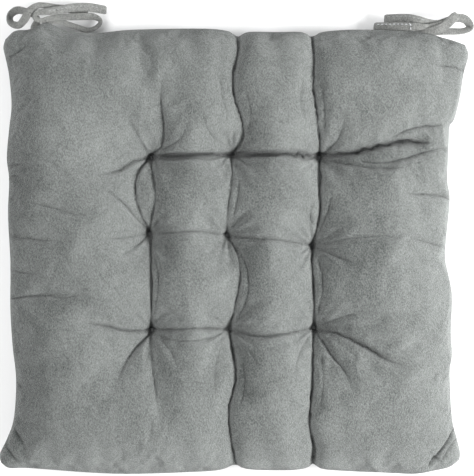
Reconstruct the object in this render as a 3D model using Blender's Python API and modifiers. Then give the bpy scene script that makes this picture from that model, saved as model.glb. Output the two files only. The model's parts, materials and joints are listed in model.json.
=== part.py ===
"""Square tufted chair seat pad with a pair of tie straps at each back corner.

Run with: blender --background --python part.py
Units are metres, +Z is up, +Y is the back edge with the ties.
The origin is under the middle of the pad, on the surface that it rests on.
"""

import math

import bmesh
import bpy
from mathutils import Vector

# The pad
PAD_WIDTH = 0.400  # X, across the corners
PAD_DEPTH = 0.390  # Y, front to back
SEAM_HEIGHT = 0.034  # Z of the edge seam that joins the two covers
CROWN = 0.038  # how far the fullest part of the top stands over the seam
SIDE_PULL = 0.009  # how far the middle of each side is drawn in by the filling
CORNER_PULL = 0.001  # how far each corner is rounded off
BACK_RIGHT_DROP = 0.008  # how far the back edge is drawn in beside the right tie
CROWN_POWER = 6.0  # higher makes the top flatter and its edges steeper
UNDERSIDE_FULL = 1.4  # the underside's fullness, as a share of the seam's height
REST_LIFT = 0.0004  # between its four low corners the underside stands this far off

# The cloth of the covers
CLOTH = 0.0009
SEAM_GAP = 0.0003  # between the two seam allowances
SEAM_ALLOWANCE = 0.008
CLEARANCE = 0.0003  # between pieces that touch

# The fibre filling inside the covers
FILL_INSET = 0.015  # from the seam to the filling's side
FILL_GAP_TOP = 0.0018  # upright, so that steep cloth round a tuft still clears it
FILL_GAP_BOTTOM = 0.0011
FILL_EDGE_GAP = 0.0008  # added where the cloth turns down to the seam

# The tufts: three rows of three stitches right through the pad
TUFT_COLUMNS = (-0.068, 0.000, 0.074)  # X of each column
TUFT_ROWS = (-0.069, 0.010, 0.081)  # Y of each row, from the front
TUFT_TOP_DEPTH = 0.034  # how far a tuft pulls the top cover down
TUFT_BOTTOM_DEPTH = 0.007  # how far it pulls the bottom cover up
TUFT_REACH = 0.046  # how far from a tuft the cloth is drawn in
TUFT_THREAD = 0.0005  # radius
TUFT_LEG = 0.0016  # from the tuft's middle to each leg of its stitch
INNER_STEPS = 4  # grid cells between two tufts
OUTER_STEPS = 4  # grid cells from the outer tufts to the filling's side
EDGE_LINE = 0.005  # a grid line this far from the seam rounds the side

# The thread of the edge seam
SEAM_THREAD = 0.0004  # radius
SEAM_THREAD_INSET = 0.005  # from the edge

# The closing stitch, where the cover was sewn shut by hand after filling
CLOSING_LENGTH = 0.120
CLOSING_INSET = 0.0062  # from the front edge
CLOSING_THREAD = 0.0004  # radius

# The tie straps
STRAP_WIDTH = 0.0080
STRAP_THICK = 0.0024
STRAP_STEP = 0.0055  # between the points of a strap's spline
STRAP_SEWN_IN = 0.008  # how far a strap's root lies inside the edge seam
STRAP_STUB = 0.0010  # how far the root stands out of the seam
STRAP_STRAIGHT = 0.0015  # how far it runs straight on before it bends
STRAP_SPREAD = 0.0056  # from a tie's middle to each of its two straps
STITCH_THREAD = 0.00025  # radius
STITCH_INSET = 0.0018  # from the strap's edge
TAIL_STITCHED = 5  # spline points of each tail that carry the row of stitches
LEFT_TIE_IN = 0.038  # from the left corner to the middle of the left tie
RIGHT_TIE_IN = 0.032
LEFT_KNOT = Vector((0.0, 0.0135, 0.002))  # from the tie's place on the back seam
RIGHT_KNOT = Vector((0.003, 0.0087, 0.002))

# Routes of the straps after the seam, in millimetres from the knot, chosen by hand:
# x, y, z, turn of the strap in degrees (0 on edge, 90 flat), share of its full section
LEFT_LOOP = [
    (-4.3, -5.5, -2.4, 90, 0.8), (-3.6, -1.6, -1.4, 75, 0.62), (-8.0, 1.6, -0.8, 62, 0.62),
    (-15.0, 5.2, -5.8, 55, 0.8), (-23.0, 6.8, -11.2, 45, 0.95), (-29.5, 3.0, -15.4, 30, 0.95),
    (-28.5, -3.4, -13.8, 40, 0.95), (-21.0, -6.6, -7.0, 60, 1.0), (-14.6, -3.0, -0.2, 70, 1.0),
    (-9.5, 3.4, 4.1, 75, 0.9), (-2.5, 8.2, 4.0, 70, 0.75), (5.0, 8.6, 1.2, 70, 0.7),
    (13.0, 8.0, -6.2, 80, 0.8), (24.0, 9.0, -18.0, 90, 0.9), (36.0, 10.5, -30.0, 90, 0.95),
]
LEFT_TAIL = [
    (4.3, -5.5, -2.4, 90, 0.8), (7.5, -3.6, -3.6, 80, 0.7), (15.0, -3.6, -8.6, 55, 0.75),
    (26.0, -6.2, -16.5, 45, 0.85), (37.0, -8.4, -23.9, 40, 0.9), (45.0, -5.0, -28.0, 30, 0.9),
    (48.0, 0.4, -28.5, 25, 0.9), (42.0, 3.6, -24.6, 35, 0.9), (30.0, 2.2, -16.1, 50, 0.85),
    (18.0, 0.2, -6.9, 60, 0.75), (8.0, -2.2, 1.6, 70, 0.6), (1.0, -4.4, 3.4, 70, 0.55),
    (-4.6, -2.8, 5.0, 75, 0.55), (-3.0, 1.6, 6.6, 85, 0.6), (4.0, 2.4, 7.0, 85, 0.75),
    (14.0, 4.4, 2.9, 80, 0.9), (26.0, 8.4, -7.5, 75, 1.0), (39.0, 10.6, -18.0, 75, 1.0),
    (53.0, 9.8, -27.6, 80, 1.0),
]
RIGHT_LOOP = [
    (4.0, -4.4, -3.4, 88, 0.8), (9.0, -3.4, -5.2, 75, 0.75), (18.0, -2.4, -9.8, 60, 0.85),
    (26.0, -1.6, -14.8, 50, 0.95), (34.5, -0.2, -19.0, 40, 1.0), (40.0, 3.2, -21.4, 40, 1.0),
    (35.5, 9.0, -17.3, 50, 1.0), (27.0, 10.0, -12.3, 60, 1.0), (18.0, 6.6, -7.8, 70, 0.85),
    (9.0, 3.8, -1.6, 75, 0.65), (0.5, 4.6, -0.8, 70, 0.6), (-8.0, 6.2, 0.0, 75, 0.8),
    (-18.0, 8.6, -7.0, 80, 0.95), (-35.0, 10.2, -20.0, 85, 1.0),
]
RIGHT_TAIL = [
    (-7.0, -3.6, -1.6, 85, 0.7), (-4.6, -3.2, 0.2, 80, 0.65), (-0.6, -3.8, 3.2, 75, 0.7),
    (6.0, -3.0, 5.4, 75, 0.9), (13.0, 0.0, 3.2, 75, 1.0), (19.5, 5.6, 0.7, 80, 1.0),
    (23.5, 9.6, -2.5, 80, 1.0), (25.5, 10.4, -5.6, 80, 0.9), (21.0, 7.4, -4.6, 80, 0.8),
    (13.0, 3.4, -0.1, 75, 0.65), (5.0, 0.8, 2.2, 75, 0.55), (-3.0, -0.2, 2.4, 75, 0.6),
    (-12.0, 0.2, 0.8, 80, 0.85), (-24.0, 1.4, -7.0, 85, 1.0), (-44.0, 3.4, -22.0, 85, 1.0),
]

VELVET_GREY = (0.33, 0.35, 0.345)
UNDERSIDE_GREY = (0.29, 0.31, 0.31)
FIBRE_WHITE = (0.86, 0.86, 0.84)
THREAD_GREY = (0.42, 0.43, 0.43)
THREAD_WHITE = (0.80, 0.81, 0.83)


def clear_scene():
    for obj in list(bpy.data.objects):
        bpy.data.objects.remove(obj, do_unlink=True)


def make_collection(name):
    collection = bpy.data.collections.new(name)
    bpy.context.scene.collection.children.link(collection)
    return collection


def make_material(name, colour, roughness):
    material = bpy.data.materials.new(name)
    material.use_nodes = True
    shader = material.node_tree.nodes["Principled BSDF"]
    shader.inputs["Base Color"].default_value = (*colour, 1.0)
    shader.inputs["Roughness"].default_value = roughness
    shader.inputs["Metallic"].default_value = 0.0
    return material


# ---- plan and section of the pad ----


def axis_lines(half, tufts):
    """Grid lines across the pad: one through each tuft, one at the filling's side."""
    inner = [
        low + (high - low) * k / INNER_STEPS
        for low, high in zip(tufts, tufts[1:])
        for k in range(INNER_STEPS)
    ] + [tufts[-1]]
    wall = half - FILL_INSET
    low = [inner[0] + (-wall - inner[0]) * k / OUTER_STEPS for k in range(1, OUTER_STEPS + 1)]
    high = [inner[-1] + (wall - inner[-1]) * k / OUTER_STEPS for k in range(1, OUTER_STEPS + 1)]
    edge = half - EDGE_LINE
    return [-half, -edge] + low[::-1] + inner + high + [edge, half]


def plan(x, y):
    """Where a point of the square cut lies once the pad is filled and sewn."""
    u, v = 2 * x / PAD_WIDTH, 2 * y / PAD_DEPTH
    corner = CORNER_PULL * (abs(u) * abs(v)) ** 10
    side_x = SIDE_PULL * abs(u) ** 3 * (1 - v**6)
    side_y = SIDE_PULL * abs(v) ** 3 * (1 - u**6)
    ease = min(max((x - 0.45 * PAD_WIDTH / 2) / (0.45 * PAD_WIDTH / 2), 0.0), 1.0)
    drop = BACK_RIGHT_DROP * ease * ease * max(v, 0.0) ** 4
    return (
        x - math.copysign(side_x + corner, x),
        y - math.copysign(side_y + corner, y) - drop,
    )


def fullness(x, y):
    """1 in the middle of the pad and 0 at the seam."""
    u, v = min(abs(2 * x / PAD_WIDTH), 1.0), min(abs(2 * y / PAD_DEPTH), 1.0)
    return math.sqrt((1 - u**CROWN_POWER) * (1 - v**CROWN_POWER))


def tuft_places():
    """(row, column, x, y) of each tuft, from the back left."""
    return [
        (row, column, x, y)
        for row, y in enumerate(reversed(TUFT_ROWS))
        for column, x in enumerate(TUFT_COLUMNS)
    ]


def tuft_pull(x, y):
    """1 at a tuft, fading to 0 at TUFT_REACH from it."""
    near = min(math.hypot(x - tx, y - ty) for _, _, tx, ty in tuft_places())
    return max(0.0, 1 - near / TUFT_REACH) ** 2


def top_height(x, y):
    """Middle of the top cover's cloth."""
    lip = SEAM_GAP / 2 + CLOTH / 2
    return SEAM_HEIGHT + lip + CROWN * fullness(x, y) - TUFT_TOP_DEPTH * tuft_pull(x, y)


def resting_corner(x, y):
    """True at the four grid points that the pad rests on."""
    return x in (LINES_X[3], LINES_X[-4]) and y in (LINES_Y[3], LINES_Y[-4])


def bottom_height(x, y):
    """Middle of the bottom cover's cloth: its underside is flat where the pad rests."""
    lip = SEAM_GAP / 2 + CLOTH / 2
    hang = SEAM_HEIGHT - lip - UNDERSIDE_FULL * SEAM_HEIGHT * fullness(x, y)
    rest = CLOTH / 2 + (0.0 if resting_corner(x, y) else REST_LIFT)
    return max(hang, rest) + TUFT_BOTTOM_DEPTH * tuft_pull(x, y)


LEFT_TIE_X = LEFT_TIE_IN - PAD_WIDTH / 2
RIGHT_TIE_X = PAD_WIDTH / 2 - RIGHT_TIE_IN
LINES_X = axis_lines(PAD_WIDTH / 2, TUFT_COLUMNS)
LINES_Y = axis_lines(PAD_DEPTH / 2, TUFT_ROWS)


def shaped_grid(mesh, lines_x, lines_y, height):
    """A grid through the given lines, laid to the pad's plan and to height(x, y)."""
    cells_x, cells_y = len(lines_x) - 1, len(lines_y) - 1
    made = bmesh.ops.create_grid(mesh, x_segments=cells_x, y_segments=cells_y, size=1)
    for vert in made["verts"]:
        x = lines_x[round((vert.co.x + 1) / 2 * cells_x)]
        y = lines_y[round((vert.co.y + 1) / 2 * cells_y)]
        vert.co = (*plan(x, y), height(x, y))
    faces = list({face for vert in made["verts"] for face in vert.link_faces})
    bmesh.ops.triangulate(mesh, faces=sorted(faces, key=lambda f: f.index), quad_method="FIXED")
    return made["verts"]


def object_of(mesh, name, collection, material):
    data = bpy.data.meshes.new(name)
    mesh.to_mesh(data)
    mesh.free()
    data.materials.append(material)
    obj = bpy.data.objects.new(name, data)
    collection.objects.link(obj)
    return obj


def cut_with(obj, cutter):
    boolean = obj.modifiers.new("Cut " + cutter.name, "BOOLEAN")
    boolean.operation = "DIFFERENCE"
    boolean.object = cutter


def cover(name, height, collection, material):
    """One cover: a shaped sheet of cloth whose seam allowance is turned in at the edge."""
    mesh = bmesh.new()
    shaped_grid(mesh, LINES_X, LINES_Y, height)
    rim = [edge for edge in mesh.edges if edge.is_boundary]
    made = bmesh.ops.extrude_edge_only(mesh, edges=rim)
    turned_in = [item for item in made["geom"] if isinstance(item, bmesh.types.BMVert)]
    for vert in turned_in:
        vert.co.x *= 1 - 2 * SEAM_ALLOWANCE / PAD_WIDTH
        vert.co.y *= 1 - 2 * SEAM_ALLOWANCE / PAD_DEPTH
    bmesh.ops.recalc_face_normals(mesh, faces=mesh.faces)
    obj = object_of(mesh, name, collection, material)
    wall = obj.modifiers.new("Cloth", "SOLIDIFY")
    wall.thickness = CLOTH
    wall.offset = 0
    wall.use_even_offset = True
    return obj


def filling(collection, material):
    """The fibre block that fills both covers, open along the needle channels."""
    lines_x, lines_y = LINES_X[2:-2], LINES_Y[2:-2]
    mesh = bmesh.new()

    def gap_at(x, y, gap):
        on_side = x in (lines_x[0], lines_x[-1]) or y in (lines_y[0], lines_y[-1])
        return gap + (FILL_EDGE_GAP if on_side else 0.0)

    shaped_grid(mesh, lines_x, lines_y, lambda x, y: top_height(x, y) - gap_at(x, y, FILL_GAP_TOP))
    under = shaped_grid(
        mesh, lines_x, lines_y, lambda x, y: bottom_height(x, y) + gap_at(x, y, FILL_GAP_BOTTOM)
    )
    faces_under = {face for vert in under for face in vert.link_faces}
    bmesh.ops.reverse_faces(mesh, faces=list(faces_under))
    rims = [edge for edge in mesh.edges if edge.is_boundary]
    bmesh.ops.bridge_loops(mesh, edges=rims)
    bmesh.ops.recalc_face_normals(mesh, faces=mesh.faces)
    return object_of(mesh, "fibre_filling", collection, material)


# ---- tuft stitches ----


def needle_channels(collection, material):
    """One cutter for every needle hole: two legs a tuft, right through the pad."""
    mesh = bmesh.new()
    radius = TUFT_THREAD + CLEARANCE
    height = SEAM_HEIGHT + CROWN
    for _, _, x, y in tuft_places():
        for side in (-1, 1):
            made = bmesh.ops.create_cone(
                mesh, cap_ends=True, segments=6, radius1=radius, radius2=radius, depth=2 * height
            )
            place = Vector((*plan(x, y), height / 2)) + Vector((side * TUFT_LEG, 0, 0))
            bmesh.ops.translate(mesh, verts=made["verts"], vec=place)
    obj = object_of(mesh, "needle_channels", collection, material)
    hide(obj)
    return obj


def hide(obj):
    obj.hide_render = True
    obj.display_type = "WIRE"


def slope_beside(height, x, y):
    """How steeply the cloth rises along X from a tuft to the next grid lines."""
    at = LINES_X.index(x)
    beside = (LINES_X[at - 1], LINES_X[at + 1])
    return max(abs((height(near, y) - height(x, y)) / (near - x)) for near in beside)


def thread_loop(name, points, radius, collection, material, closed, sides=2):
    data = bpy.data.curves.new(name, "CURVE")
    data.dimensions = "3D"
    data.bevel_depth = radius
    data.bevel_resolution = sides
    data.use_fill_caps = True
    data.twist_mode = "Z_UP"
    spline = data.splines.new("POLY")
    spline.points.add(len(points) - 1)
    for place, point in zip(spline.points, points):
        place.co = (*point, 1)
    spline.use_cyclic_u = closed
    data.materials.append(material)
    obj = bpy.data.objects.new(name, data)
    collection.objects.link(obj)
    return obj


def tuft_stitch(row, column, x, y, collection, material):
    """A tuft's thread: down one needle hole, across underneath, and up the other."""
    reach = TUFT_LEG + TUFT_THREAD
    over = {}
    for side, height in (("top", top_height), ("bottom", bottom_height)):
        slope = slope_beside(height, x, y)
        cloth = CLOTH / 2 * math.hypot(1, slope)
        over[side] = reach * slope + cloth + CLEARANCE + TUFT_THREAD
    high = top_height(x, y) + over["top"]
    low = bottom_height(x, y) - over["bottom"] + 2 * reach * slope_beside(bottom_height, x, y)
    low = min(low, bottom_height(x, y) - CLOTH / 2 - CLEARANCE - TUFT_THREAD)
    px, py = plan(x, y)
    corners = [(-1, low), (-1, high), (1, high), (1, low)]
    points = [(px + side * TUFT_LEG, py, z) for side, z in corners]
    return thread_loop(
        f"tuft_stitch_{row + 1}_{column + 1}", points, TUFT_THREAD, collection, material, True
    )


# ---- edge seam ----


def outline_points(inset, height):
    """Points round the pad's edge, the given distance inside it."""
    lines_x, lines_y = LINES_X[::2], LINES_Y[::2]
    square = [(x, lines_y[0]) for x in lines_x[:-1]]
    square += [(lines_x[-1], y) for y in lines_y[:-1]]
    square += [(x, lines_y[-1]) for x in lines_x[:0:-1]]
    square += [(lines_x[0], y) for y in lines_y[:0:-1]]
    points = []
    for x, y in square:
        px, py = plan(x, y)
        scale_x, scale_y = 1 - 2 * inset / PAD_WIDTH, 1 - 2 * inset / PAD_DEPTH
        points.append((px * scale_x, py * scale_y, height))
    return points


def closing_stitch(collection, material):
    """The hand-sewn thread along the front seam, where the filling went in."""
    y = plan(0, -PAD_DEPTH / 2)[1] + CLOSING_INSET
    z = SEAM_HEIGHT + SEAM_GAP / 2 + CLOTH + CLEARANCE + CLOSING_THREAD
    steps = 12
    points = [(CLOSING_LENGTH * (k / steps - 0.5), y, z) for k in range(steps + 1)]
    thread_loop("closing_stitch", points, CLOSING_THREAD, collection, material, False, sides=1)


def seam_threads(collection, material):
    """The needle thread over the seam allowances and the bobbin thread under them."""
    away = max(SEAM_GAP / 2 + CLOTH, STRAP_THICK / 2) + CLEARANCE + SEAM_THREAD
    for name, z in (("seam_needle_thread", away), ("seam_bobbin_thread", -away)):
        points = outline_points(SEAM_THREAD_INSET, SEAM_HEIGHT + z)
        thread_loop(name, points, SEAM_THREAD, collection, material, True, sides=1)


# ---- ties ----


def back_edge(x):
    """Y of the back seam at X, on the straight line between its grid lines."""
    corners = [plan(line, PAD_DEPTH / 2) for line in LINES_X]
    for (x0, y0), (x1, y1) in zip(corners, corners[1:]):
        if x0 <= x <= x1:
            return y0 + (y1 - y0) * (x - x0) / (x1 - x0)
    return corners[-1][1]


def tie_place(tie_x):
    """Where a tie's two straps come out of the back seam."""
    edge = min(back_edge(tie_x - STRAP_SPREAD), back_edge(tie_x + STRAP_SPREAD))
    return Vector((tie_x, edge, SEAM_HEIGHT))


def root_points(root_x):
    """The sewn root of a strap: inside the seam, then a short way out of it."""
    edge = back_edge(root_x)
    inside = Vector((root_x, edge - STRAP_SEWN_IN, SEAM_HEIGHT))
    outside = Vector((root_x, edge + STRAP_STUB, SEAM_HEIGHT))
    return [(*place, 90.0, 1.0) for place in (inside, (inside + outside) / 2, outside)]


def strap_route(root_x, knot, route):
    """The free run of a strap: it leaves its root and goes on through its own points."""
    exit_y = back_edge(root_x) + STRAP_STUB + CLEARANCE
    start = [(root_x, exit_y + out, SEAM_HEIGHT, 90.0, 1.0) for out in (0, STRAP_STRAIGHT)]
    free = [
        (knot.x + x / 1000, knot.y + y / 1000, knot.z + z / 1000, float(turn), share)
        for x, y, z, turn, share in route
    ]
    return start + free


def smooth(points, step):
    """Points about one step apart on a Catmull-Rom curve through the given ones."""
    size = len(points[0])
    ends = [
        [2 * a - b for a, b in zip(points[0], points[1])],
        [2 * a - b for a, b in zip(points[-1], points[-2])],
    ]
    path = [ends[0], *points, ends[1]]
    fine = []
    for a, b, c, d in zip(path, path[1:], path[2:], path[3:]):
        pieces = max(1, round((Vector(c[:3]) - Vector(b[:3])).length / step))
        for k in range(pieces):
            t = k / pieces
            fine.append([
                0.5 * (2 * b[i] + (c[i] - a[i]) * t
                       + (2 * a[i] - 5 * b[i] + 4 * c[i] - d[i]) * t * t
                       + (3 * b[i] - a[i] - 3 * c[i] + d[i]) * t**3)
                for i in range(size)
            ])
    fine.append(list(points[-1]))
    return fine


def strap(name, points, collection, material):
    """A folded velvet strap: a flat band with rounded edges along its route."""
    data = bpy.data.curves.new(name, "CURVE")
    data.dimensions = "3D"
    data.fill_mode = "FULL"
    data.extrude = (STRAP_WIDTH - STRAP_THICK) / 2
    data.bevel_depth = STRAP_THICK / 2
    data.bevel_resolution = 1
    data.use_fill_caps = True
    data.twist_mode = "Z_UP"
    spline = data.splines.new("POLY")
    spline.points.add(len(points) - 1)
    for place, (x, y, z, turn, share) in zip(spline.points, points):
        place.co = (x, y, z, 1)
        place.tilt = math.radians(turn)
        place.radius = share
    data.materials.append(material)
    obj = bpy.data.objects.new(name, data)
    collection.objects.link(obj)
    return obj


def tail_stitch(name, points, collection, material):
    """The thread that sews a strap's fold shut, along one edge of its free tail."""
    places = [Vector(point[:3]) for point in points]
    first = len(points) - TAIL_STITCHED
    thread = []
    for k in range(first, len(points)):
        before = (places[k] - places[k - 1]).normalized()
        after = (places[min(k + 1, len(places) - 1)] - places[k]).normalized()
        along = (before + after).normalized()
        upward = (Vector((0, 0, 1)) - along * along.z).normalized()
        turn, share = math.radians(points[k][3]), points[k][4]
        across = upward * math.cos(turn) + along.cross(upward) * math.sin(turn)
        face = across.cross(along)
        face = face if face.z > 0 else -face
        reach = share * (STRAP_WIDTH / 2 - STITCH_INSET)
        lift = share * STRAP_THICK / 2 + CLEARANCE + STITCH_THREAD
        thread.append(places[k] + across * reach + face * lift)
    thread[0] = thread[0].lerp(thread[1], 0.15)
    thread[-1] = thread[-1].lerp(thread[-2], 0.15)
    return thread_loop(name, thread, STITCH_THREAD, collection, material, False)


def hang_on(hinge, obj):
    """Move a curve's own origin to the hinge's place and parent it there."""
    for spline in obj.data.splines:
        for point in spline.points:
            point.co = (*(point.co.xyz - hinge.location), 1)
    obj.parent = hinge


def tie_hinge(name, tie_x, collection):
    """The line that a tie swings on: the upper side of its roots, where they leave the seam."""
    hinge = bpy.data.objects.new(name, None)
    place = tie_place(tie_x)
    hinge.location = place + Vector((0, STRAP_STUB, STRAP_THICK / 2))
    hinge.empty_display_size = STRAP_WIDTH
    collection.objects.link(hinge)
    return hinge


def seam_pockets(collection, material):
    """One cutter for the slots in the edge seam that the strap roots pass through."""
    mesh = bmesh.new()
    for tie_x in (LEFT_TIE_X, RIGHT_TIE_X):
        for side in (-1, 1):
            root_x = tie_x + side * STRAP_SPREAD
            made = bmesh.ops.create_cube(mesh, size=1)
            size = (
                STRAP_WIDTH + 2 * CLEARANCE,
                2 * (STRAP_SEWN_IN + CLEARANCE),
                STRAP_THICK + 2 * CLEARANCE,
            )
            bmesh.ops.scale(mesh, verts=made["verts"], vec=size)
            place = (root_x, back_edge(root_x), SEAM_HEIGHT)
            bmesh.ops.translate(mesh, verts=made["verts"], vec=place)
    obj = object_of(mesh, "seam_pockets", collection, material)
    hide(obj)
    return obj


def main():
    clear_scene()
    parts = make_collection("Chair seat pad")
    cutters = make_collection("Cutters")
    velvet = make_material("velvet", VELVET_GREY, 0.9)
    underside = make_material("underside cloth", UNDERSIDE_GREY, 0.95)
    fibre = make_material("polyester fibre", FIBRE_WHITE, 1.0)
    thread = make_material("grey thread", THREAD_GREY, 0.7)
    white_thread = make_material("white thread", THREAD_WHITE, 0.6)

    channels = needle_channels(cutters, fibre)
    pockets = seam_pockets(cutters, fibre)
    top = cover("top_cover", top_height, parts, velvet)
    bottom = cover("bottom_cover", bottom_height, parts, underside)
    for piece in (top, bottom):
        cut_with(piece, channels)
        cut_with(piece, pockets)
    cut_with(filling(parts, fibre), channels)

    for row, column, x, y in tuft_places():
        tuft_stitch(row, column, x, y, parts, thread)
    seam_threads(parts, thread)

    closing_stitch(parts, thread)

    for side, tie_x, knot, loop, tail, loop_side in (
        ("left", LEFT_TIE_X, LEFT_KNOT, LEFT_LOOP, LEFT_TAIL, -1),
        ("right", RIGHT_TIE_X, RIGHT_KNOT, RIGHT_LOOP, RIGHT_TAIL, 1),
    ):
        hinge = tie_hinge(f"{side}_tie_hinge", tie_x, parts)
        knot_place = tie_place(tie_x) + knot
        for kind, route, root_side in (("loop", loop, loop_side), ("tail", tail, -loop_side)):
            root_x = tie_x + root_side * STRAP_SPREAD
            strap(f"{side}_tie_root_{kind}", root_points(root_x), parts, velvet)
            points = smooth(strap_route(root_x, knot_place, route), STRAP_STEP)
            hang_on(hinge, strap(f"{side}_tie_strap_{kind}", points, parts, velvet))
            stitch_name = f"{side}_tie_stitch_{kind}"
            hang_on(hinge, tail_stitch(stitch_name, points, parts, white_thread))


main()
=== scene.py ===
import json
import math
import random

import bmesh
import bpy
import numpy as np
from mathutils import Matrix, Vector


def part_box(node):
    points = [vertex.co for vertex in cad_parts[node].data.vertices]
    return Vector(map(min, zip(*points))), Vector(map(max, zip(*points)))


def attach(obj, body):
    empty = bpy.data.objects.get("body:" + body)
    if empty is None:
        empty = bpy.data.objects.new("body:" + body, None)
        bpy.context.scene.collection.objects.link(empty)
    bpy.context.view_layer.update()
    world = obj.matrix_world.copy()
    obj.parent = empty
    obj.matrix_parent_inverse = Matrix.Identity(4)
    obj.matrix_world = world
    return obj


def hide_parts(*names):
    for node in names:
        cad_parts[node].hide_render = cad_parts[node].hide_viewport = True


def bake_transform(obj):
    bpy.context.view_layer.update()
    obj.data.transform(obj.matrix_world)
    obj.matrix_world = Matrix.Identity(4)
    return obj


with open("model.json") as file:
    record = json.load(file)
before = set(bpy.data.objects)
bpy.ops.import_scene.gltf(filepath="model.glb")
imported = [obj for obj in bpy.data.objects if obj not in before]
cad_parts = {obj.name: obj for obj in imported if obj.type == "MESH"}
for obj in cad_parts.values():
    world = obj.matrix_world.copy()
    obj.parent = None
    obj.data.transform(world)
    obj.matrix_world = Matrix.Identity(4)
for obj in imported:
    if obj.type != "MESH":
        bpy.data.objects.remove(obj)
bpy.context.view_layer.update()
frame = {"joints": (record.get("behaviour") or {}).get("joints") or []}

scene = bpy.context.scene
mm = 0.001

# sizes that every piece shares
padSize = {
    "seamHeight": 0.034,
    "crown": 0.034,          # top of the filling above the seam, before it is blown up
    "crownPower": 4.4,       # higher gives a flatter top and steeper sides
    "underFullness": 1.30,
    "restClearance": 0.0006,
}

# tufts, from the back left, row by row
tuftSpots = [
    (-68, 80), (3, 83), (78, 80),
    (-69, 14), (-2, 13), (72, 4),
    (-67, -69), (0, -68), (73, -67),
]


def smoothPath(points, step):
    # Catmull-Rom through given points, about one step apart
    size = len(points[0])
    first = [2 * a - b for a, b in zip(points[0], points[1])]
    last = [2 * a - b for a, b in zip(points[-1], points[-2])]
    path = [first, *points, last]
    fine = []
    for a, b, c, d in zip(path, path[1:], path[2:], path[3:]):
        pieces = max(1, round(math.dist(b[:3], c[:3]) / step))
        for k in range(pieces):
            t = k / pieces
            fine.append([
                0.5 * (2 * b[i] + (c[i] - a[i]) * t
                       + (2 * a[i] - 5 * b[i] + 4 * c[i] - d[i]) * t * t
                       + (3 * b[i] - a[i] - 3 * c[i] + d[i]) * t**3)
                for i in range(size)
            ])
    fine.append(list(points[-1]))
    return fine


def evenly(path, count):
    # the same path as count + 1 points at equal lengths
    path = np.array(path, float)
    run = np.concatenate([[0], np.cumsum(np.linalg.norm(np.diff(path, axis=0), axis=1))])
    at = np.linspace(0, run[-1], count + 1)
    return np.stack([np.interp(at, run, path[:, i]) for i in range(path.shape[1])], axis=1)


def addObject(name, data):
    obj = bpy.data.objects.new(name, data)
    scene.collection.objects.link(obj)
    return obj


def addMesh(name, verts, faces, material=None):
    data = bpy.data.meshes.new(name)
    data.from_pydata([tuple(v) for v in verts], [], [tuple(f) for f in faces])
    data.update()
    if material:
        data.materials.append(material)
    data.shade_smooth()
    return addObject(name, data)


cameraSettings = {
    "middle": (0.0065, 0.0104),   # looks straight down at this place
    "width": 0.4105,              # what it takes in at the height of the seam
    "lens": 100,
    "sensor": 36,
}


def makeCamera(c):
    data = bpy.data.cameras.new("camera")
    data.lens = c["lens"]
    data.sensor_width = c["sensor"]
    scene.camera = addObject("camera", data)
    away = c["width"] * c["lens"] / c["sensor"]
    scene.camera.location = (*c["middle"], padSize["seamHeight"] + away)


makeCamera(cameraSettings)
print("camera ready")


def feed(tree, node, sockets):
    # each socket takes another node's socket or a plain value
    for key, source in sockets.items():
        if isinstance(source, bpy.types.NodeSocket):
            tree.links.new(source, node.inputs[key])
        else:
            node.inputs[key].default_value = source


def addNode(tree, kind, sockets={}, **settings):
    node = tree.nodes.new(kind)
    node.location = (220 * (len(tree.nodes) % 7), -330 * (len(tree.nodes) // 7))
    for key, value in settings.items():
        setattr(node, key, value)
    feed(tree, node, sockets)
    return node


def maths(tree, operation, *values, **settings):
    return addNode(tree, "ShaderNodeMath", dict(enumerate(values)),
                   operation=operation, **settings).outputs[0]


def blended(tree, share, first, second, way="MIX"):
    return addNode(tree, "ShaderNodeMix", {0: share, 6: first, 7: second},
                   data_type="RGBA", blend_type=way).outputs[2]


def newGroup(name, kind, inputs, outputs):
    # a node group; each socket is given by its first value or, without one, by its type
    group = bpy.data.node_groups.new(name, kind)
    forms = {float: "Float", int: "Int", tuple: "Color"}
    for way, sockets in (("INPUT", inputs), ("OUTPUT", outputs)):
        for label, value in sockets.items():
            form = forms.get(type(value), value)
            socket = group.interface.new_socket(
                name=label, in_out=way, socket_type="NodeSocket" + form)
            if form != value:
                socket.default_value = value
    return group, addNode(group, "NodeGroupInput").outputs, addNode(group, "NodeGroupOutput")


def newMaterial(name):
    material = bpy.data.materials.new(name)
    material.use_nodes = True
    return material, material.node_tree, material.node_tree.nodes["Principled BSDF"]


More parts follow.
